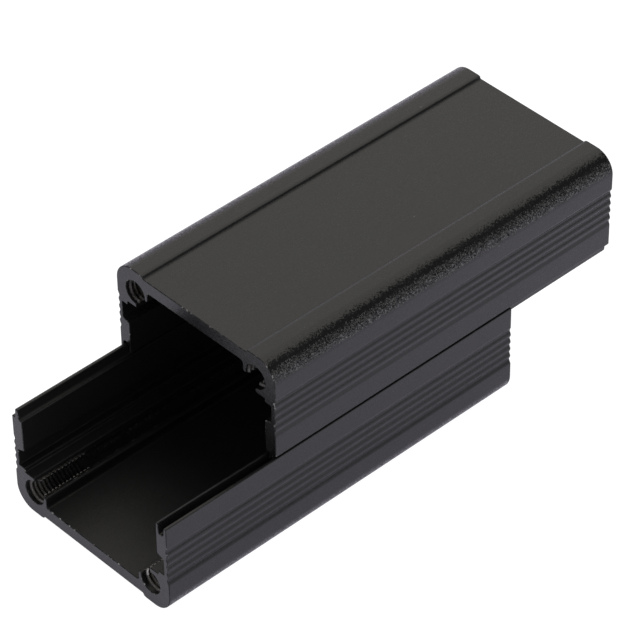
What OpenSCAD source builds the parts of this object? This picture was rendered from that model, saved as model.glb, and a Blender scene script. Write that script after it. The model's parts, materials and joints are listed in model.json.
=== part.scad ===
// Split-body extruded aluminium enclosure for a small circuit board.
// Two equal half shells, cut from one extrusion, hold each other by a tongue and a groove:
// the upper half is the lower one turned over about its length, and slides along it.
// Millimetres. X runs along the extrusion, Z is up, and the lower half stands on Z = 0.

/* [Enclosure] */
// Length of each half
length = 50.5; // [30:0.5:150]
// Width over the side faces
width = 24.8; // [21:0.5:60]
// Height of the closed box
height = 25; // [23:0.5:60]
// How far the upper half stands along the lower one, where 0 is closed
slide_offset = 15.4; // [0:0.1:25]

/* [Shell] */
// Thickness of the floor under the sunk panel
floor_t = 1.6; // [1:0.1:3]
// Thickness of the side walls above the board slot
wall_t = 1.7; // [1.6:0.05:2.4]
// How far the side faces step in above the grip grooves
side_relief = 0.1; // [0:0.05:0.3]
// Radius of the long outer corners
corner_r = 2.5; // [1:0.1:3]
// Depth of the sunk panel in the outer face
panel_depth = 0.35; // [0.1:0.05:0.6]
// Width of the plain band between the side face and the sunk panel
band_w = 4.3; // [3.5:0.1:6]
// Width of the slope between the band and the sunk panel
panel_slope = 0.1; // [0.05:0.05:0.6]
// Radius that eases the band over towards that slope
band_roll = 0.9; // [0.3:0.1:1.5]

/* [Grip grooves] */
// Number of grooves along each side face
grip_count = 5; // [1:1:5]
// Height of the lowest groove above the base
grip_low = 4.98; // [4.5:0.02:5.5]
// Distance from one groove to the next
grip_pitch = 1.02; // [0.8:0.02:1.1]
// Depth of a groove before its bottom and crests are rounded
grip_depth = 0.27; // [0.1:0.01:0.4]

/* [Screw channels] */
// Distance of each channel's centre from the side face and from the base
screw_inset = 3; // [2.8:0.05:4]
// Diameter of the tapped stretch at each end
screw_d = 3; // [2.5:0.1:3.5]
// Diameter of the plain channel between the tapped stretches
core_d = 2.5; // [2:0.1:2.5]
// Depth that is tapped at each end
tap_depth = 7; // [3:0.5:14]
// Thickness of the shelf over the channel
shelf_t = 0.55; // [0.3:0.05:1]
// Thickness of the post beside the channel
post_t = 0.42; // [0.3:0.02:1]
// Height of the post's top over the channel's centre
post_rise = 0.26; // [0:0.02:0.4]
// How far the shelf's lip reaches past the channel's centre
lip_reach = 0.04; // [0:0.01:0.3]
// Radius of the post's inner top edge
post_nose = 0.24; // [0.05:0.01:0.4]
// Radius where the post meets the floor
post_fillet = 0.3; // [0.1:0.05:0.8]

/* [Board slots] */
// Height of the slot that holds the edge of a board
slot_h = 2.2; // [1.2:0.1:3]
// How far the slot's upper face rises towards the inside
slot_rise = 0.35; // [0:0.05:0.6]
// Wall left between the slot and the side face
slot_wall = 0.7; // [0.6:0.05:1.2]
// Height of the ledge under the slot over the shelf
ledge_h = 0.5; // [0.2:0.05:1]
// Width of that ledge from the slot's bottom
ledge_w = 0.9; // [0.5:0.05:1.5]

/* [Seam] */
// Open line between the outer faces of the closed halves
seam_gap = 0.25; // [0.1:0.05:0.5]
// Height of the tongue over its shoulder
tongue_h = 1.22; // [0.8:0.01:1.6]
// Width of the shoulder outside the tongue
tongue_set = 0.5; // [0.45:0.01:0.6]
// Thickness of the tongue at its root
tongue_root = 0.65; // [0.5:0.01:0.7]
// Thickness of the tongue at its tip
tongue_tip = 0.42; // [0.3:0.01:0.5]
// Radius inside the tongue's root
tongue_fillet = 0.25; // [0.1:0.05:0.35]
// Running clearance on each side of the tongue
tongue_fit = 0.14; // [0.08:0.01:0.2]
// Clearance between the tongue's tip and the groove's bottom
tip_gap = 0.3; // [0.1:0.05:0.4]
// Clearance over the step that carries the inner lip
seat_gap = 0.2; // [0.1:0.05:0.4]

/* [Hidden] */

anodised = [0.27, 0.27, 0.29];  // black anodised aluminium, fine blasted
edge_r = 0.12;                  // rounding of the profile's sharp edges
roll_turn = 25;                 // how far the eased edge of the band leans over
roll_steps = 4;                 // chords along that edge
bore_step = 64;                 // sides of the channels in a preview
fine_turn = 22.5;               // largest turn between the points of a small arc
skip = 1;                       // how far a cutter runs past the end it cuts

half_w = width / 2;
half_h = height / 2;
side_y = half_w - side_relief;  // side face above the grip grooves
wall_y = half_w - wall_t;       // inner face of the side wall
slot_y = half_w - slot_wall;    // bottom of the board slot
ledge_y = slot_y - ledge_w;     // edge of the ledge under the slot
screw_y = half_w - screw_inset;
screw_z = screw_inset;
lip_y = screw_y - lip_reach;
post_y = screw_y - screw_d / 2 - post_t;
panel_y = half_w - band_w;      // middle of the slope beside the sunk panel
floor_z = panel_depth + floor_t;
post_z = screw_z + post_rise;
shelf_z = screw_z + screw_d / 2 + shelf_t;
slot_z = shelf_z + ledge_h;
slot_top_z = slot_z + slot_h;

shoulder_z = half_h - seam_gap / 2;
seat_z = half_h - seat_gap;
tongue_z = shoulder_z + tongue_h;
groove_z = height - tongue_z - tip_gap;
tongue_y = side_y - tongue_set - tongue_root / 2;  // middle of the tongue
groove_r = tongue_tip / 2 + tongue_fit;            // half the groove's width at its bottom

start_x = -(length + slide_offset) / 2;            // end of the lower half

// ---- outline helpers: a corner is [y, z, radius] ----

function unit(v) = v / norm(v);

// Points of the arc that rounds corner p between its neighbours a and b.
// The radius gives way where either side is too short for it.
function rounded(a, p, b) =
    let (
        at = [p.x, p.y],
        to_a = [a.x, a.y] - at,
        to_b = [b.x, b.y] - at,
        u = unit(to_a),
        v = unit(to_b),
        half_turn = acos(u * v) / 2,
        room = min(norm(to_a), norm(to_b)) * 0.49 * tan(half_turn),
        r = min(p.z, room),
        reach = r / tan(half_turn),
        centre = at + unit(u + v) * r / sin(half_turn),
        from = at + u * reach - centre,
        to = at + v * reach - centre,
        sweep = 180 - 2 * half_turn,
        sign = cross(from, to) < 0 ? -1 : 1,
        steps = max(2, ceil(sweep / fine_turn))
    )
    [for (i = [0:steps])
        let (turn = sign * sweep * i / steps)
        centre + [from.x * cos(turn) - from.y * sin(turn), from.x * sin(turn) + from.y * cos(turn)]];

// Outline through the given corners, each rounded by its own radius
function outline(corners) =
    [for (i = [0:len(corners) - 1])
        let (
            n = len(corners),
            p = corners[i],
            points = p.z > 0 ? rounded(corners[(i + n - 1) % n], p, corners[(i + 1) % n]) : [[p.x, p.y]]
        )
        each points];

// The same corners on the other side, in the order that keeps the outline running one way
function mirrored(corners) =
    [for (i = [len(corners) - 1:-1:0]) [-corners[i].x, corners[i].y, corners[i].z]];

// ---- corners of one side, from the middle of the base round to the middle of the floor ----

// Slope out of the sunk panel, and the band's eased edge from there up to the base.
// The edge gives way where the panel is too shallow for it.
function panel_edge() =
    let (
        drop = min(band_roll * (1 - cos(roll_turn)), panel_depth / 2),
        turn = acos(1 - drop / band_roll),
        slope_y = panel_y + panel_slope / 2,
        band_y = slope_y + band_roll * sin(turn)
    )
    [
        [panel_y - panel_slope / 2, panel_depth, edge_r],
        [slope_y, drop, edge_r],
        for (i = [roll_steps - 1:-1:0])
            let (a = turn * i / roll_steps)
            [band_y - band_roll * sin(a), band_roll * (1 - cos(a)), 0]
    ];

// Base, side face and the grip grooves with their wavy crests
function outer_corners() = [
    each panel_edge(),
    [half_w, 0, 0],
    for (i = [0:grip_count - 1]) each [
        [half_w, grip_low + (i - 0.5) * grip_pitch, grip_pitch / 2],
        [half_w - grip_depth, grip_low + i * grip_pitch, grip_pitch / 3]
    ],
    [side_y, grip_low + (grip_count - 0.5) * grip_pitch, grip_pitch / 2]
];

// Edge with the tongue
function tongue_corners() = [
    [side_y, shoulder_z, edge_r],
    [tongue_y + tongue_root / 2, shoulder_z, edge_r / 2],
    [tongue_y + tongue_tip / 2, tongue_z, edge_r],
    [tongue_y - tongue_tip / 2, tongue_z, edge_r],
    [tongue_y - tongue_root / 2, seat_z, tongue_fillet],
    [wall_y, seat_z, edge_r]
];

// Edge with the groove between its outer and inner lips
function groove_corners() = [
    [side_y, shoulder_z, edge_r],
    [tongue_y + tongue_root / 2 + tongue_fit, shoulder_z, edge_r / 2],
    [tongue_y + groove_r, groove_z, groove_r * 0.9],
    [tongue_y - groove_r, groove_z, groove_r * 0.9],
    [tongue_y - tongue_root / 2 - tongue_fit, half_h, edge_r],
    [wall_y + edge_r / 2, half_h, edge_r],
    [wall_y, groove_z, 0]
];

// Wall, board slot, shelf and post
function inner_corners() = [
    [wall_y, slot_top_z + slot_rise, edge_r],
    [slot_y, slot_top_z, edge_r],
    [slot_y, slot_z, edge_r],
    [ledge_y, slot_z, edge_r],
    [ledge_y, shelf_z, edge_r],
    [lip_y, shelf_z, edge_r],
    [lip_y, post_z, 0],
    [post_y, post_z, post_nose],
    [post_y, floor_z, post_fillet]
];

// Outer form of the profile: its long corners are true arcs
module rounded_form() {
    translate([-half_w, corner_r]) square([width, height]);
    translate([corner_r - half_w, 0]) square([width - 2 * corner_r, 2 * corner_r]);
    for (side = [-1, 1])
        translate([side * (half_w - corner_r), corner_r]) circle(r = corner_r, $fn = bore_step);
}

// Section of the extrusion, with the tongue at +Y and the groove at -Y
module section() {
    tongue_side = concat(outer_corners(), tongue_corners(), inner_corners());
    groove_side = concat(outer_corners(), groove_corners(), inner_corners());
    intersection() {
        polygon(outline(concat(tongue_side, mirrored(groove_side))));
        rounded_form();
    }
}

// One screw channel: plain all along, and wider where it is tapped at both ends
module screw_channel() {
    rotate([0, 90, 0]) {
        translate([0, 0, -skip]) cylinder(h = length + 2 * skip, d = core_d, $fn = bore_step);
        translate([0, 0, -skip]) cylinder(h = tap_depth + skip, d = screw_d, $fn = bore_step);
        translate([0, 0, length - tap_depth]) cylinder(h = tap_depth + skip, d = screw_d, $fn = bore_step);
    }
}

// One half shell, cut to length from the extrusion, with its end at X = 0
module half_shell() {
    difference() {
        rotate([90, 0, 90]) linear_extrude(height = length) section();
        for (side = [-1, 1])
            translate([0, side * screw_y, screw_z]) screw_channel();
    }
}

module lower_half() {
    color(anodised)
        translate([start_x, 0, 0]) half_shell();
}

module upper_half() {
    color(anodised)
        translate([start_x + slide_offset, 0, height]) rotate([180, 0, 0]) half_shell();
}

lower_half();
upper_half();
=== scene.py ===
"""Looks of a split-body extruded aluminium enclosure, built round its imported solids.

The two half shells keep their solids and get broken edges and a black anodised finish.
The screw threads in the ends of their channels are modelled here.
"""

import json
import math

import bpy
from bpy.props import FloatProperty, FloatVectorProperty, IntProperty, PointerProperty
from mathutils import Matrix, Vector


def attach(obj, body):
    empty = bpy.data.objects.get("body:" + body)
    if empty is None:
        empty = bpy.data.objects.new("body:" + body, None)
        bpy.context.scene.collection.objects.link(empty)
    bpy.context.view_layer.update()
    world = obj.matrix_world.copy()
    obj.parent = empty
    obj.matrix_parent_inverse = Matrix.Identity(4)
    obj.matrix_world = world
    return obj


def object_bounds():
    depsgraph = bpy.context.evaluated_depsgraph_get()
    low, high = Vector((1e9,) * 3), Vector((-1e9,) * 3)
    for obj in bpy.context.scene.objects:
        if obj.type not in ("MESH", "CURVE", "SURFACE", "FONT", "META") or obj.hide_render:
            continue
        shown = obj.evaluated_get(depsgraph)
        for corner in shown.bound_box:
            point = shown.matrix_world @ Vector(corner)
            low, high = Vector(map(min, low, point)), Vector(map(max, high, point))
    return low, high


bl_info = {
    "name": "Extruded Enclosure",
    "version": (1, 0, 0),
    "blender": (4, 5, 0),
    "location": "View3D > Sidebar > Enclosure",
    "description": "Finishes the half shells of an extruded enclosure and cuts their screw threads",
    "category": "Object",
}

MM = 0.001

# Where masks start and end, by the surface's normal of length 1
END_FACING = (0.80, 0.95)  # along the extrusion, on the sawn ends
CORNER_TURN = (0.10, 0.24)  # its sideways and upward parts multiplied, on the long corners
# The painted glints on the long corners' grains also sit on this sideways half.
SIDE_FACING = (0.66, 0.90)  # sideways, on the half of a corner that the blast hit

# Where masks start and end, in millimetres
CORNER_FADE = (-0.1, 0.1)  # past the corner's reach
INSIDE_FADE = (-4.0, -1.0)  # from the middle line, counted along the normal
CREST_FADE = (0.08, 0.22)  # outwards from the crests of the threads

# Where masks start and end, as shares
DUST_EDGE = (0.012, 0.022)  # of the distance between two specks
RIDGE_END = (0.93, 0.98)  # of the radius, where a ridge stops at the lip or the post

# Where masks start and end, by the value of a noise
MIDDLE_NOISE = (0.3, 0.7)
WORN_NOISE = (0.42, 0.66)
GLINT_NOISE = (0.60, 0.68)
TORN_NOISE = (0.28, 0.46)
THIN_NOISE = (0.4, 0.7)
PICKED_FADE = 0.03

# How much fine detail a noise has
PLAIN, FINE, FINER = 2.0, 3.0, 4.0

# Clean-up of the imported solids' meshes before their edges are broken
WELD_GAP = 0.0005 * MM
FLAT_ANGLE = math.radians(0.5)
SHARP_ANGLE = math.radians(40.0)

# What the camera sees, from nearest to farthest, in metres
CAMERA_REACH = (0.01, 100.0)

# Each half shell gets its own part of the noise, this far from the other's
SEED_STEP = 37.0

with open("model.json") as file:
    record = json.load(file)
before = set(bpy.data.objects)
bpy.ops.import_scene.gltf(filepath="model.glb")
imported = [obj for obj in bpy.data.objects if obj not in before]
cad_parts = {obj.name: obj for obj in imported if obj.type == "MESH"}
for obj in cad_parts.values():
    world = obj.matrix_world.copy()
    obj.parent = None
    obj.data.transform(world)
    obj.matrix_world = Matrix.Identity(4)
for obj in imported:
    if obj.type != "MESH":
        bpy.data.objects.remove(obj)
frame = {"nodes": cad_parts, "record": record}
cad_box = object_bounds()
mounts = {mount["name"]: mount for mount in frame["record"]["mounts"]}
HALVES = {"lower_half": "lower", "upper_half": "upper"}
SCREW_PATTERNS = {
    "lower_near_screws": "lower_half",
    "lower_far_screws": "lower_half",
    "upper_near_screws": "upper_half",
    "upper_far_screws": "upper_half",
}


# ---- properties -------------------------------------------------------------------------------


def length(name, default, description):
    """A size in metres, given here in millimetres."""
    return FloatProperty(name=name, description=description, default=default * MM, min=0.0,
                         precision=5, unit="LENGTH", subtype="DISTANCE")


def angle(name, default, description):
    """An angle in radians, given here in degrees."""
    return FloatProperty(name=name, description=description, default=math.radians(default),
                         unit="ROTATION", subtype="ANGLE")


def colour(name, default, description):
    """A linear colour."""
    return FloatVectorProperty(name=name, description=description, default=default, size=3,
                               min=0.0, max=1.0, subtype="COLOR")


def factor(name, default, description, top=1.0):
    """A plain number with no unit."""
    return FloatProperty(name=name, description=description, default=default, min=0.0, max=top)


def number(name, default, description):
    """A plain number with no top."""
    return FloatProperty(name=name, description=description, default=default, min=0.0)


def offset(name, default, description):
    """A point in metres."""
    return FloatVectorProperty(name=name, description=description, default=default, size=3,
                               precision=3, unit="LENGTH", subtype="TRANSLATION")


def span(name, default, description):
    """A width and a depth in metres."""
    return FloatVectorProperty(name=name, description=description, default=default, size=2,
                               min=0.0, precision=3, unit="LENGTH")


class ShellSettings(bpy.types.PropertyGroup):
    """Edges of the half shells."""
    edge_break: length("Edge break", 0.09, "Width of the chamfer left on the cut ends by tumbling")
    edge_segments: IntProperty(name="Edge segments", description="Faces across a broken edge",
                               default=2, min=1, max=4)


class ThreadSettings(bpy.types.PropertyGroup):
    """M3 screw threads at the ends of the channels."""
    pitch: length("Pitch", 0.5, "Distance from one thread to the next")
    crest_radius: length("Crest radius", 1.25, "Radius inside the thread's crests")
    root_width: length("Root width", 0.42, "Width of the ridge where it meets the bore")
    crest_width: length("Crest width", 0.12, "Width of the ridge's crest")
    crest_round: length("Crest rounding", 0.025, "Rounding of the crests and of the ridges' ends")
    depth: length("Depth", 7.0, "Depth of the tapped stretch")
    mouth_gap: length("Mouth gap", 0.25, "Distance from the channel's mouth to the first thread")
    lip_angle: angle("Lip angle", 98.0, "Where the wall ends at the shelf's lip")
    post_angle: angle("Post angle", 165.0, "Where the wall starts again at the post")
    sunk: length("Sunk", 0.02, "How deep the ridge's foot lies in the wall")
    burr_angle: angle("Burr angle", 50.0, "Edges sharper than this are rounded")
    burr_segments: IntProperty(name="Burr segments", description="Faces across a rounded edge",
                               default=2, min=1, max=4)
    steps: IntProperty(name="Steps", description="Faces along one turn", default=36, min=12, max=96)
    roughness: factor("Roughness", 0.24, "Roughness of the tapped threads")
    torn: length("Torn", 0.12, "Size of the patches that the tap tore")
    torn_mark: factor("Torn mark", 0.1, "How much those patches change the roughness")
    torn_height: length("Torn height", 0.024, "Height of those patches")
    # Mouth start and mouth end set where the painted highlight near the channel's mouth fades into
    # painted shade deeper in; the next two settings set their strength.
    mouth_start: length("Mouth start", 0.8, "Depth down to which the oxide is worn thinnest")
    mouth_end: length("Mouth end", 3.5, "Depth from which it is whole")
    mouth_painted_highlight: factor("Mouth wear", 0.16, "How bare the ridges are at the mouth")
    painted_depth_shade: factor("Mouth thin", 0.65, "How much less thin the oxide is deep inside")
    shine: factor("Shine", 0.35, "How much the torn metal mirrors")


class FinishSettings(bpy.types.PropertyGroup):
    """Black anodised finish."""
    body: colour("Body", (0.0075, 0.0074, 0.0078), "Colour of the dyed oxide")
    edge: colour("Edge", (0.035, 0.034, 0.036), "Colour of the oxide where an edge is worn thin")
    thread: colour("Thread", (0.085, 0.073, 0.060), "Colour of the thin oxide on the threads")
    # The bare colour is also what the painted glints on the long corners' grains are lightened towards.
    bare: colour("Bare metal", (0.52, 0.51, 0.49), "Colour of the metal where the crests are rubbed")
    dust: colour("Dust", (0.16, 0.155, 0.15), "Colour of the few dust specks")
    roughness: factor("Roughness", 0.28, "Roughness of the blasted flat faces")
    corner_roughness: factor("Corner roughness", 0.17, "Roughness of each grain on the long corners")
    inside_roughness: factor("Inside roughness", 0.41, "Roughness of the drawn faces inside")
    cut_roughness: factor("Cut roughness", 0.26, "Roughness of the sawn ends")
    grain: length("Grain", 0.11, "Size of one grain of the blasted surface")
    grain_tilt: factor("Grain tilt", 0.05, "How far the grains lean on the flat faces")
    corner_tilt: factor("Corner tilt", 0.52, "How far they lean where the blast hit the long corners")
    corner_even: factor("Corner even", 0.5, "Share of that lean on the rest of the long corners")
    pit_scale: factor("Pit scale", 1.5, "Size of the pits between the grains, in grains", top=4.0)
    pit_mark: factor("Pit mark", 0.06, "How much the pits change the roughness")
    grain_height: length("Grain height", 0.012, "Height of the pits between the grains")
    corner_reach: length("Corner reach", 2.5, "How far the long corners' grain reaches from each face")
    wear_size: length("Wear size", 0.5, "Size of the thin places on the broken edges")
    wear_shine: factor("Wear shine", 0.08, "How much smoother those places are")
    glint: length("Glint", 0.45, "Size of the spots rubbed to bare metal on the edges")
    glint_bare: factor("Glint bare", 0.6, "How far those spots are rubbed")
    glint_shine: factor("Glint shine", 0.5, "How much those spots mirror")
    # Painted glints: a share of the grains on the long corners is lightened towards bare metal,
    # standing in for the sparkle of reflected light.
    painted_glint_share: factor("Glint share", 0.20, "Share of the corners' grains that are rubbed")
    painted_glint_strength: factor("Glint strength", 0.13, "How far those grains are rubbed")
    line_gap: length("Line gap", 0.5, "Distance between the faint drawing lines")
    line_stretch: factor("Line stretch", 0.02, "Width of a drawing line over its length")
    line_mark: factor("Line mark", 0.06, "How much the drawing lines change the roughness")
    line_height: factor("Line height", 0.15, "Height of the drawing lines, in pits")
    saw_gap: length("Saw gap", 0.11, "Distance between the marks of the saw on the cut ends")
    saw_radius: length("Saw radius", 90.0, "Distance from the part's middle to the saw's centre")
    saw_mark: factor("Saw mark", 0.2, "How much the saw's marks change the roughness")
    saw_height: factor("Saw height", 0.5, "Height of the saw's marks, in pits")
    cut_pits: factor("Cut pits", 0.25, "How much of the pits' height is left on the cut ends")
    cloud: length("Cloud", 6.0, "Size of the clouds in the dye")
    cloud_tone: factor("Cloud tone", 1.25, "How much lighter the clouds are", top=2.0)
    cloud_share: factor("Cloud share", 0.5, "How strongly the clouds show")
    dust_gap: length("Dust gap", 4.0, "Distance between the dust specks")
    lower_wear: factor("Lower wear", 1.0, "How much the tap rubbed the lower half's threads")
    upper_wear: factor("Upper wear", 0.12, "How much it rubbed the upper half's threads")
    index: number("Index", 1.5, "Index of refraction of the sealed oxide")
    edge_index: number("Edge index", 1.32, "Index of refraction of the worn oxide")


class StageSettings(bpy.types.PropertyGroup):
    """Camera, lamps and floor."""
    azimuth: angle("Azimuth", -42.77, "Camera's direction round the part")
    elevation: angle("Elevation", 40.65, "Camera's height over the part")
    roll: angle("Roll", -0.80, "Camera's turn about its own axis")
    distance: length("Distance", 408.3, "Camera's distance from the point it looks at")
    look_right: length("Look right", 0.27, "How far right of the part's middle the camera looks")
    look_up: length("Look up", 0.78, "How far over the part's middle the camera looks")
    lens: number("Lens", 211.4, "Focal length in millimetres")
    sensor: number("Sensor", 36.0, "Width of the camera's sensor in millimetres")
    floor_size: length("Floor size", 4000.0, "Width of the floor")
    floor_colour: colour("Floor", (0.86, 0.85, 0.89), "Colour of the floor")
    floor_mirror: colour("Floor mirrored", (0.86, 0.82, 0.99), "Colour of the floor in the oxide")
    floor_gloss: factor("Floor gloss share", 0.50, "How much of the floor's mirror image is even")
    backdrop_gloss: factor("Backdrop gloss share", 0.58, "The same for the backdrop")
    backdrop_reach: length("Backdrop reach", 1500.0, "Distance from the part to the backdrop")
    backdrop_height: length("Backdrop height", 700.0, "Height of the backdrop")
    fibre: length("Fibre", 1.5, "Size of the paper's fibres")
    fibre_share: factor("Fibre share", 0.3, "How strongly the fibres show")
    fibre_tone: factor("Fibre tone", 0.97, "How dark the fibres are against the paper")
    paper_roughness: factor("Paper roughness", 0.9, "Roughness of the paper")
    white_share: factor("White share", 0.82, "How much of the paper is even white to the camera")
    white: number("White", 1.2, "Brightness of that white")
    overhead: number("Overhead", 0.86, "Brightness of the panel over the part")
    overhead_place: offset("Overhead place", (0.46, 0.44, 0.50), "Its middle, from the part's middle")
    overhead_size: span("Overhead size", (1.08, 1.12), "Its width and depth")
    overhead_tint: colour("Overhead tint", (1.0, 0.975, 0.90), "Its colour")
    strip: number("Strip", 2.6, "Brightness of the low strip lamp")
    strip_place: offset("Strip place", (0.18, -0.819, 0.333), "Its middle, from the part's middle")
    strip_size: span("Strip size", (1.00, 0.09), "Its width and depth")
    strip_tint: colour("Strip tint", (1.0, 0.99, 0.97), "Its colour")
    surroundings: factor("Surroundings", 0.60, "Brightness of the room on dull faces")
    gloss_room: factor("Gloss room", 0.07, "Brightness of the room in the oxide")


# ---- shading ----------------------------------------------------------------------------------


class Signal:
    """A socket of a material's nodes that takes part in plain arithmetic."""

    def __init__(self, recipe, socket):
        self.recipe = recipe
        self.socket = socket

    def combine(self, operation, *values):
        return self.recipe.add("ShaderNodeMath", {"operation": operation}, dict(enumerate(values)))

    def __add__(self, other):
        return self.combine("ADD", self, other)

    def __radd__(self, other):
        return self.combine("ADD", other, self)

    def __sub__(self, other):
        return self.combine("SUBTRACT", self, other)

    def __rsub__(self, other):
        return self.combine("SUBTRACT", other, self)

    def __mul__(self, other):
        return self.combine("MULTIPLY", self, other)

    def __rmul__(self, other):
        return self.combine("MULTIPLY", other, self)

    def __truediv__(self, other):
        return self.combine("DIVIDE", self, other)

    def __pow__(self, other):
        return self.combine("POWER", self, other)

    def __abs__(self):
        return self.combine("ABSOLUTE", self)

    def ramp(self, low, high, start=0.0, end=1.0):
        """start below low, end above high, and smooth between them."""
        ranged = {"interpolation_type": "SMOOTHSTEP"}
        values = {"Value": self, "From Min": low, "From Max": high, "To Min": start, "To Max": end}
        return self.recipe.add("ShaderNodeMapRange", ranged, values)


class Recipe:
    """A material and the nodes that make it."""

    def __init__(self, name):
        self.material = bpy.data.materials.new(name)
        self.material.use_nodes = True
        self.nodes = self.material.node_tree.nodes
        self.links = self.material.node_tree.links
        self.nodes.clear()

    def add(self, kind, settings=None, values=None, output=0):
        """Adds a node: its settings first, then its sockets' values or links."""
        node = self.nodes.new(kind)
        for name, value in (settings or {}).items():
            setattr(node, name, value)
        for name, value in (values or {}).items():
            if isinstance(value, Signal):
                self.links.new(value.socket, node.inputs[name])
            else:
                node.inputs[name].default_value = value
        return Signal(self, node.outputs[output])

    def mix(self, mask, under, over):
        """Colour under where the mask is 0 and over where it is 1."""
        colours = [value if isinstance(value, Signal) else (*value, 1.0) for value in (under, over)]
        settings = {"data_type": "RGBA"}
        return self.add("ShaderNodeMix", settings, {0: mask, 6: colours[0], 7: colours[1]}, output=2)

    def vector(self, operation, *vectors, output="Vector", **others):
        """Vector Math on links or plain vectors."""
        values = {**dict(enumerate(vectors)), **others}
        return self.add("ShaderNodeVectorMath", {"operation": operation}, values, output=output)

    def finish(self, shader):
        """Shows the shader on the surface and gives back the material."""
        output = self.nodes.new("ShaderNodeOutputMaterial")
        self.links.new(shader.socket, output.inputs["Surface"])
        return self.material


def object_point(recipe, scale=(1.0, 1.0, 1.0), shift=(0.0, 0.0, 0.0)):
    """Place on the piece in millimetres, stretched by scale."""
    place = recipe.add("ShaderNodeTexCoord", output="Object")
    stretch = [value / MM for value in scale]
    return recipe.add("ShaderNodeMapping", {}, {"Vector": place, "Scale": stretch, "Location": shift})


def noise(recipe, point, size, detail):
    """Cloudy noise with blobs of the given size in metres."""
    values = {"Vector": point, "Scale": MM / size, "Detail": detail}
    return recipe.add("ShaderNodeTexNoise", {}, values, output="Fac")


def cells(recipe, point, size, output):
    """Irregular cells of the given size in metres."""
    values = {"Vector": point, "Scale": MM / size, "Randomness": 1.0}
    return recipe.add("ShaderNodeTexVoronoi", {"feature": "F1"}, values, output=output)


def component(recipe, vector, axis):
    """X, Y or Z of a vector."""
    return recipe.add("ShaderNodeSeparateXYZ", {}, {0: vector}, output=axis)


def facing(recipe, axis):
    """X, Y or Z of the way that the surface faces."""
    return component(recipe, recipe.add("ShaderNodeTexCoord", output="Normal"), axis)


def cut_end_mask(recipe):
    """1 on the sawn ends, which face along the extrusion, and 0 on the drawn faces."""
    return abs(facing(recipe, "X")).ramp(*END_FACING)


def corner_mask(recipe, finish):
    """1 on the long round corners, and 0 on flat faces, grooves and the edges of the panel."""
    point = object_point(recipe)
    low, high = cad_box
    reach = finish.corner_reach / MM
    half_width = high[1] / MM
    half_height = (high[2] - low[2]) / 2.0 / MM
    beside = abs(component(recipe, point, "Y")) - (half_width - reach)
    above = abs(component(recipe, point, "Z") - half_height) - (half_height - reach)
    turned = abs(facing(recipe, "Y")) * abs(facing(recipe, "Z"))
    return turned.ramp(*CORNER_TURN) * beside.ramp(*CORNER_FADE) * above.ramp(*CORNER_FADE)


def inside_mask(recipe):
    """1 on the faces that look at the enclosure's middle line, and 0 on the outer ones."""
    point = object_point(recipe)
    middle = (cad_box[0][2] + cad_box[1][2]) / 2.0 / MM
    sideways = component(recipe, point, "Y") * facing(recipe, "Y")
    upwards = (component(recipe, point, "Z") - middle) * facing(recipe, "Z")
    return (sideways + upwards).ramp(*INSIDE_FADE, 1.0, 0.0)


def picked_grains(recipe, point, size, share):
    """1 on a share of the grains, and 0 on the rest."""
    own = component(recipe, cells(recipe, point, size, "Color"), "X")
    return own.ramp(1.0 - share - PICKED_FADE, 1.0 - share + PICKED_FADE)


def leaning_grains(recipe, point, size, lean):
    """The surface's own normal, tipped a different way on each grain."""
    tip = recipe.vector("SUBTRACT", cells(recipe, point, size, "Color"), (0.5, 0.5, 0.5))
    normal = recipe.add("ShaderNodeNewGeometry", output="Normal")
    leaned = recipe.vector("ADD", normal, recipe.vector("SCALE", tip, Scale=lean))
    return recipe.vector("NORMALIZE", leaned)


def saw_marks(recipe, finish, seed):
    """Fine arcs left by a large round saw."""
    flat = object_point(recipe, scale=(0.0, 1.0, 1.0))
    centre = (0.0, math.cos(seed) * finish.saw_radius / MM, -finish.saw_radius / MM)
    radius = recipe.vector("DISTANCE", flat, centre, output="Value")
    marks = {"W": radius, "Scale": MM / finish.saw_gap, "Detail": FINE}
    return recipe.add("ShaderNodeTexNoise", {"noise_dimensions": "1D"}, marks, output="Fac")


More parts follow.
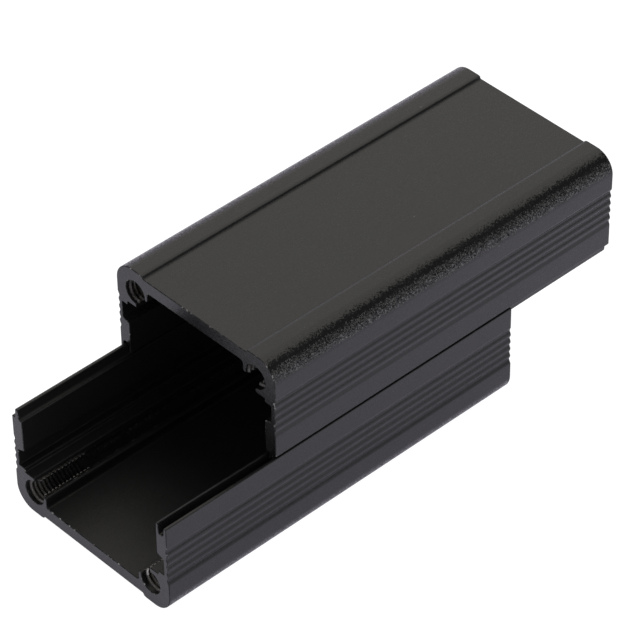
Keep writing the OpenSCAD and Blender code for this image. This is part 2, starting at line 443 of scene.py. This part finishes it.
def anodised(name, finish, seed):
    """Black anodised aluminium: blasted grain, faint drawing lines, sawn ends, a little dust and
    painted glints on the long corners.
    """
    recipe = Recipe(name)
    point = object_point(recipe, shift=(seed, seed, seed))
    lines = object_point(recipe, scale=(finish.line_stretch, 1.0, 1.0), shift=(seed, 0.0, 0.0))
    cut = cut_end_mask(recipe)
    drawn = 1.0 - cut

    pits = noise(recipe, point, finish.grain * finish.pit_scale, FINE)
    streaks = noise(recipe, lines, finish.line_gap, FINER)
    clouds = noise(recipe, point, finish.cloud, FINE)
    marks = saw_marks(recipe, finish, seed)
    dust = cells(recipe, point, finish.dust_gap, "Distance").ramp(*DUST_EDGE, 1.0, 0.0)

    corner = corner_mask(recipe, finish)
    blasted = corner * abs(facing(recipe, "Y")).ramp(*SIDE_FACING)
    # Painted glints: picked grains on the sideways half of the long corners are lightened towards bare
    # metal's colour, in place of reflected sparkle.
    rubbed_and_painted_glint = picked_grains(recipe, point, finish.grain, finish.painted_glint_share) * blasted
    cloudy = [value * finish.cloud_tone for value in finish.body]
    tone = recipe.mix(clouds.ramp(*MIDDLE_NOISE) * finish.cloud_share, finish.body, cloudy)
    tone = recipe.mix(dust, tone, finish.dust)
    # The painted glints are mixed into the tone here.
    tone = recipe.mix(rubbed_and_painted_glint * finish.painted_glint_strength, tone, finish.bare)

    flat = finish.roughness
    roughness = flat + (streaks - 0.5) * finish.line_mark * drawn + (pits - 0.5) * finish.pit_mark
    roughness = roughness + corner * (finish.corner_roughness - flat)
    roughness = roughness + inside_mask(recipe) * (finish.inside_roughness - flat)
    roughness = roughness + cut * (finish.cut_roughness - flat + (marks - 0.5) * finish.saw_mark)

    hit = corner * finish.corner_even + blasted * (1.0 - finish.corner_even)
    lean = hit * (finish.corner_tilt - finish.grain_tilt) + finish.grain_tilt
    grains = leaning_grains(recipe, point, finish.grain, lean)
    height = pits * (drawn * (1.0 - finish.cut_pits) + finish.cut_pits)
    height = height + streaks * drawn * finish.line_height + marks * cut * finish.saw_height
    bump = recipe.add("ShaderNodeBump", {}, {"Height": height, "Distance": finish.grain_height,
                                             "Strength": 1.0, "Normal": grains})
    shader = recipe.add("ShaderNodeBsdfPrincipled", {}, {
        "Base Color": tone, "Roughness": roughness, "IOR": finish.index, "Normal": bump})
    return recipe.finish(shader)


def worn_edge(name, finish, seed):
    """The same oxide on a broken edge, thin and smooth in places and rubbed bare in spots."""
    recipe = Recipe(name)
    point = object_point(recipe, shift=(seed, seed, seed))
    wear = noise(recipe, point, finish.wear_size, FINER).ramp(*WORN_NOISE)
    glint = noise(recipe, point, finish.glint, PLAIN).ramp(*GLINT_NOISE) * finish.glint_bare
    tone = recipe.mix(glint, recipe.mix(wear, finish.body, finish.edge), finish.bare)
    grains = leaning_grains(recipe, point, finish.grain, finish.grain_tilt)
    pits = noise(recipe, point, finish.grain * finish.pit_scale, PLAIN)
    bump = recipe.add("ShaderNodeBump", {}, {"Height": pits, "Distance": finish.grain_height,
                                             "Normal": grains})
    shader = recipe.add("ShaderNodeBsdfPrincipled", {}, {
        "Base Color": tone, "Roughness": finish.roughness - wear * finish.wear_shine,
        "Metallic": glint * finish.glint_shine, "IOR": finish.edge_index, "Normal": bump})
    return recipe.finish(shader)


def tapped_thread(name, finish, thread, node):
    """Thin oxide on the tapped threads, torn through to bare metal where the tap broke out, with a
    painted highlight near the mouth and painted shade deeper in.
    """
    near = mounts[HALVES[node] + "_near_screws"]
    far = mounts[HALVES[node] + "_far_screws"]
    half_spacing = near["dims"]["spacing_x_mm"] / 2.0
    half_length = abs(far["pos_m"][0] - near["pos_m"][0]) / 2.0 / MM
    middle = (far["pos_m"][0] + near["pos_m"][0]) / 2.0 / MM
    over, wear = (1.0, finish.lower_wear) if node == "lower_half" else (-1.0, finish.upper_wear)

    # Place round the channel: towards the part's middle line, towards the split, and how deep in
    recipe = Recipe(name)
    point = object_point(recipe)
    inward = half_spacing - abs(component(recipe, point, "Y"))
    rise = (component(recipe, point, "Z") - near["pos_m"][2] / MM) * over
    radius = (inward * inward + rise * rise) ** 0.5
    depth = half_length - abs(component(recipe, point, "X") - middle)

    # The ridges end in the directions of the split and of the middle line
    torn = noise(recipe, point, thread.torn, FINE)
    off_crest = radius - thread.crest_radius / MM
    # Painted highlight and painted shade: towards the mouth the ridges are painted lighter and barer,
    # deeper in the channel darker.
    deep = depth.ramp(thread.mouth_start / MM, thread.mouth_end / MM)
    ends = (rise.combine("MAXIMUM", rise, inward) / radius).ramp(*RIDGE_END)
    rubbed_and_painted_glint = (ends + (1.0 - deep) * thread.mouth_painted_highlight) * wear
    bare = rubbed_and_painted_glint * off_crest.ramp(*CREST_FADE, 1.0, 0.0) * torn.ramp(*TORN_NOISE)
    thin = torn.ramp(*THIN_NOISE) * (1.0 - deep * thread.painted_depth_shade)
    tone = recipe.mix(thin, finish.body, finish.thread)
    tone = recipe.mix(bare, tone, finish.bare)
    bump = recipe.add("ShaderNodeBump", {}, {"Height": torn, "Distance": thread.torn_height})
    shader = recipe.add("ShaderNodeBsdfPrincipled", {}, {
        "Base Color": tone, "Roughness": thread.roughness + torn * thread.torn_mark,
        "Metallic": bare * thread.shine, "IOR": finish.index, "Normal": bump})
    return recipe.finish(shader)


def paper(name, stage, gloss_share):
    """Pale paper that reads white to the camera and in reflections, and keeps a soft shadow."""
    recipe = Recipe(name)
    camera = recipe.add("ShaderNodeLightPath", output="Is Camera Ray")
    glossy = recipe.add("ShaderNodeLightPath", output="Is Glossy Ray")
    fibres = noise(recipe, object_point(recipe), stage.fibre, FINER).ramp(*MIDDLE_NOISE)
    darker = [value * stage.fibre_tone for value in stage.floor_colour]
    tone = recipe.mix(fibres * stage.fibre_share, stage.floor_colour, darker)
    sheet = recipe.add("ShaderNodeBsdfPrincipled", {}, {"Base Color": tone,
                                                        "Roughness": stage.paper_roughness})
    glow_tone = recipe.mix(glossy, [stage.white] * 3, stage.floor_mirror)
    glow = recipe.add("ShaderNodeEmission", {}, {"Color": glow_tone, "Strength": 1.0})
    share = camera * stage.white_share + glossy * gloss_share
    return recipe.finish(recipe.add("ShaderNodeMixShader", {}, {0: share, 1: sheet, 2: glow}))


# ---- modelling helpers ------------------------------------------------------------------------


def deselect_all():
    bpy.ops.object.select_all(action="DESELECT")


def pick(*pieces):
    """Selects just these pieces, the first one active."""
    deselect_all()
    for piece in pieces:
        piece.select_set(True)
    bpy.context.view_layer.objects.active = pieces[0]


def settle(piece):
    """Puts the piece's place into its mesh and its object at the origin."""
    pick(piece)
    bpy.ops.object.transform_apply(location=True, rotation=True, scale=True)


def apply_modifier(piece, name, kind, **settings):
    """Adds a modifier with these settings and puts its result into the mesh."""
    modifier = piece.modifiers.new(name, kind)
    for key, value in settings.items():
        setattr(modifier, key, value)
    pick(piece)
    bpy.ops.object.modifier_apply(modifier=modifier.name)


# ---- operators --------------------------------------------------------------------------------


class ENCLOSURE_OT_shells(bpy.types.Operator):
    """Break the edges of both half shells and anodise them"""
    bl_idname = "enclosure.shells"
    bl_label = "Finish Half Shells"

    def execute(self, context):
        shell = context.scene.enclosure_shell
        finish = context.scene.enclosure_finish
        for seed, (node, body) in enumerate(HALVES.items()):
            half = frame["nodes"][node]
            half.data.materials.clear()
            half.data.materials.append(anodised("anodised_" + body, finish, seed * SEED_STEP))
            half.data.materials.append(worn_edge("edge_" + body, finish, seed * SEED_STEP))
            weld = half.modifiers.new("Weld", "WELD")
            weld.merge_threshold = WELD_GAP
            flats = half.modifiers.new("Whole Faces", "DECIMATE")
            flats.decimate_type = "DISSOLVE"
            flats.angle_limit = FLAT_ANGLE
            edges = half.modifiers.new("Edge Break", "BEVEL")
            edges.limit_method = "ANGLE"
            edges.angle_limit = SHARP_ANGLE
            edges.width = shell.edge_break
            edges.segments = shell.edge_segments
            edges.use_clamp_overlap = False
            edges.material = 1
            normals = half.modifiers.new("Face Normals", "WEIGHTED_NORMAL")
            normals.keep_sharp = False
            half.data.polygons.foreach_set("use_smooth", [True] * len(half.data.polygons))
        return {"FINISHED"}


class ENCLOSURE_OT_threads(bpy.types.Operator):
    """Cut the screw threads at the ends of every channel"""
    bl_idname = "enclosure.threads"
    bl_label = "Cut Screw Threads"

    def execute(self, context):
        thread = context.scene.enclosure_thread
        finish = context.scene.enclosure_finish
        stretches = {node: [] for node in HALVES}
        for name, node in SCREW_PATTERNS.items():
            mount = mounts[name]
            for side in (-1.0, 1.0):
                stretches[node].append(thread_stretch(thread, mount, node, side))
        for node, pieces in stretches.items():
            pick(*pieces)
            bpy.ops.object.join()
            threads = pieces[0]
            threads.name = node.replace("half", "threads")
            threads.data.materials.append(tapped_thread("tapped_" + HALVES[node], finish, thread, node))
            settle(threads)
            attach(threads, HALVES[node])
        return {"FINISHED"}


def thread_turn(thread, bore_radius):
    """One turn of the ridge about X, from the post round to the shelf's lip."""
    sweep = 2.0 * math.pi - (thread.post_angle - thread.lip_angle)
    foot = bore_radius + thread.sunk
    middle = (foot + thread.crest_radius) / 2.0
    deselect_all()
    bpy.ops.mesh.primitive_plane_add(size=1.0, location=(0.0, middle, 0.0))
    turn = bpy.context.object
    bpy.ops.object.mode_set(mode="EDIT")
    bpy.ops.transform.resize(value=(thread.root_width, foot - thread.crest_radius, 1.0))
    bpy.ops.mesh.delete(type="ONLY_FACE")
    bpy.ops.object.mode_set(mode="OBJECT")
    settle(turn)
    for vertex in turn.data.vertices:
        vertex.select = vertex.co.y < middle
    bpy.ops.object.mode_set(mode="EDIT")
    bpy.ops.transform.resize(value=(thread.crest_width / thread.root_width, 1.0, 1.0))
    bpy.ops.object.mode_set(mode="OBJECT")
    apply_modifier(turn, "Helix", "SCREW", axis="X", angle=sweep, steps=thread.steps,
                   render_steps=thread.steps, screw_offset=thread.pitch * sweep / (2.0 * math.pi),
                   use_merge_vertices=False)
    bpy.ops.object.mode_set(mode="EDIT")
    bpy.ops.mesh.select_all(action="SELECT")
    bpy.ops.mesh.fill_holes(sides=4)
    bpy.ops.mesh.select_all(action="SELECT")
    bpy.ops.mesh.normals_make_consistent(inside=False)
    bpy.ops.object.mode_set(mode="OBJECT")
    apply_modifier(turn, "Burr", "BEVEL", limit_method="ANGLE", angle_limit=thread.burr_angle,
                   width=thread.crest_round, segments=thread.burr_segments)
    return turn, sweep


def thread_stretch(thread, mount, node, side):
    """The tapped stretch behind one hole of a screw pattern, in place."""
    bore_radius = mount["dims"]["hole_r_mm"] * MM
    spacing = mount["dims"]["spacing_x_mm"] * MM
    inward = -mount["axis"][0]
    turn, sweep = thread_turn(thread, bore_radius)
    advance = thread.pitch * sweep / (2.0 * math.pi)
    turns = int((thread.depth - thread.root_width - advance) / thread.pitch) + 1
    apply_modifier(turn, "Turns", "ARRAY", count=turns, use_relative_offset=False,
                   use_constant_offset=True, constant_offset_displace=(thread.pitch, 0.0, 0.0))
    upright = node == "lower_half"
    first_edge = thread.post_angle if (side > 0) == upright else thread.lip_angle
    wall_start = channel_angle(first_edge, side, upright)
    run = (turns - 1) * thread.pitch + advance + thread.root_width
    begin = thread.mouth_gap if inward > 0 else -thread.mouth_gap - run
    first = mount["pos_m"][0] + begin + thread.root_width / 2.0
    turn.matrix_world = (
        Matrix.Translation((first, side * spacing / 2.0, mount["pos_m"][2]))
        @ Matrix.Rotation(wall_start, 4, "X")
    )
    return turn


def channel_angle(angle_from_outside, side, upright):
    """Turns an angle measured from outward to upward in a lower channel into one from +Y to +Z."""
    y = math.cos(angle_from_outside) * side
    z = math.sin(angle_from_outside) * (1.0 if upright else -1.0)
    return math.atan2(z, y)


class ENCLOSURE_OT_stage(bpy.types.Operator):
    """Lay the floor, hang the lamps and aim the camera"""
    bl_idname = "enclosure.stage"
    bl_label = "Set Stage"

    def execute(self, context):
        stage = context.scene.enclosure_stage
        lay_floor(stage)
        hang_lamps(stage)
        light_room(context.scene, stage)
        aim_camera(context.scene, stage)
        context.scene.view_settings.view_transform = "Standard"
        return {"FINISHED"}


def part_middle():
    """Middle of the box round the part at rest."""
    low, high = cad_box
    return (Vector(low) + Vector(high)) / 2.0


def lay_floor(stage):
    """The floor, and a backdrop that rises behind the part."""
    deselect_all()
    bpy.ops.mesh.primitive_plane_add(size=stage.floor_size, location=(0.0, 0.0, cad_box[0][2]))
    floor = bpy.context.object
    floor.name = "floor"
    floor.data.materials.append(paper("paper", stage, stage.floor_gloss))
    away = -camera_side(stage.azimuth, 0.0)
    place = away * stage.backdrop_reach + Vector((0.0, 0.0, stage.backdrop_height / 2.0))
    deselect_all()
    bpy.ops.mesh.primitive_plane_add(size=1.0, location=place,
                                     rotation=away.to_track_quat("Z", "Y").to_euler())
    backdrop = bpy.context.object
    backdrop.name = "backdrop"
    backdrop.scale = (stage.floor_size / 2.0, stage.backdrop_height, 1.0)
    settle(backdrop)
    backdrop.data.materials.append(paper("backdrop_paper", stage, stage.backdrop_gloss))


def soft_lamp(name, spot, direction, size, radiance, tint):
    """A soft box that shows the given brightness to what it faces."""
    width, depth = size
    deselect_all()
    bpy.ops.object.light_add(type="AREA", location=spot)
    lamp = bpy.context.object
    lamp.name = name
    lamp.data.name = name
    lamp.data.shape = "RECTANGLE"
    lamp.data.size = width
    lamp.data.size_y = depth
    lamp.data.energy = radiance * math.pi * width * depth
    lamp.data.color = tint
    lamp.rotation_euler = (-direction).to_track_quat("Z", "Y").to_euler()
    lamp.visible_camera = False


def hang_lamps(stage):
    """A wide panel overhead towards the back, and a long low strip along the side face."""
    middle = part_middle()
    above = Vector(stage.overhead_place)
    beside = Vector(stage.strip_place)
    down = Vector((0.0, 0.0, -1.0))
    soft_lamp("overhead_panel", middle + above, down, stage.overhead_size, stage.overhead,
              stage.overhead_tint)
    soft_lamp("strip_lamp", middle + beside, -beside, stage.strip_size, stage.strip, stage.strip_tint)


def light_room(scene, stage):
    """White to the camera, dim in reflections, and an even light on dull faces."""
    world = bpy.data.worlds.new("room")
    world.use_nodes = True
    scene.world = world
    nodes = world.node_tree.nodes
    links = world.node_tree.links
    nodes.clear()
    light_path = nodes.new("ShaderNodeLightPath")
    output = nodes.new("ShaderNodeOutputWorld")
    shades = {}
    for name, strength in (("felt", stage.surroundings), ("mirrored", stage.gloss_room), ("seen", 1.0)):
        shades[name] = nodes.new("ShaderNodeBackground")
        shades[name].inputs["Color"].default_value = (1.0, 1.0, 1.0, 1.0)
        shades[name].inputs["Strength"].default_value = strength
    gloss_or_felt = nodes.new("ShaderNodeMixShader")
    links.new(light_path.outputs["Is Glossy Ray"], gloss_or_felt.inputs[0])
    links.new(shades["felt"].outputs[0], gloss_or_felt.inputs[1])
    links.new(shades["mirrored"].outputs[0], gloss_or_felt.inputs[2])
    camera_or_rest = nodes.new("ShaderNodeMixShader")
    links.new(light_path.outputs["Is Camera Ray"], camera_or_rest.inputs[0])
    links.new(gloss_or_felt.outputs[0], camera_or_rest.inputs[1])
    links.new(shades["seen"].outputs[0], camera_or_rest.inputs[2])
    links.new(camera_or_rest.outputs[0], output.inputs["Surface"])


def camera_side(around, rise):
    """Direction from the part to a camera this far round it and this high over it."""
    flat = math.cos(rise)
    return Vector((math.sin(around) * flat, -math.cos(around) * flat, math.sin(rise)))


def aim_camera(scene, stage):
    """A long lens from the stage's direction, aimed a little off the part's middle."""
    back = camera_side(stage.azimuth, stage.elevation)
    right = Vector((math.cos(stage.azimuth), math.sin(stage.azimuth), 0.0))
    up = back.cross(right)
    target = part_middle() + right * stage.look_right + up * stage.look_up
    deselect_all()
    bpy.ops.object.camera_add(location=target + back * stage.distance)
    camera = bpy.context.object
    camera.name = "camera"
    turn = Matrix((right, up, back)).transposed() @ Matrix.Rotation(stage.roll, 3, "Z")
    camera.rotation_euler = turn.to_euler()
    camera.data.lens = stage.lens
    camera.data.sensor_width = stage.sensor
    camera.data.clip_start, camera.data.clip_end = CAMERA_REACH
    scene.camera = camera


class ENCLOSURE_PT_panel(bpy.types.Panel):
    """Sizes and colours of the enclosure, and the steps that make it"""
    bl_idname = "ENCLOSURE_PT_panel"
    bl_label = "Extruded Enclosure"
    bl_space_type = "VIEW_3D"
    bl_region_type = "UI"
    bl_category = "Enclosure"

    def draw(self, context):
        for groups, operator in STEPS:
            box = self.layout.box()
            for group in groups:
                settings = getattr(context.scene, group)
                for name in settings.__annotations__:
                    box.prop(settings, name)
            box.operator(operator)


STEPS = (
    (("enclosure_stage",), "enclosure.stage"),
    (("enclosure_finish", "enclosure_shell"), "enclosure.shells"),
    (("enclosure_thread",), "enclosure.threads"),
)
GROUPS = {
    "enclosure_shell": ShellSettings,
    "enclosure_thread": ThreadSettings,
    "enclosure_finish": FinishSettings,
    "enclosure_stage": StageSettings,
}
CLASSES = (
    ShellSettings, ThreadSettings, FinishSettings, StageSettings,
    ENCLOSURE_OT_shells, ENCLOSURE_OT_threads, ENCLOSURE_OT_stage, ENCLOSURE_PT_panel,
)


def register():
    for cls in CLASSES:
        bpy.utils.register_class(cls)
    for name, group in GROUPS.items():
        setattr(bpy.types.Scene, name, PointerProperty(type=group))


def unregister():
    for name in GROUPS:
        delattr(bpy.types.Scene, name)
    for cls in reversed(CLASSES):
        bpy.utils.unregister_class(cls)


def main():
    register()
    bpy.ops.enclosure.stage()
    bpy.ops.enclosure.shells()
    bpy.ops.enclosure.threads()


if __name__ == "__main__":
    main()
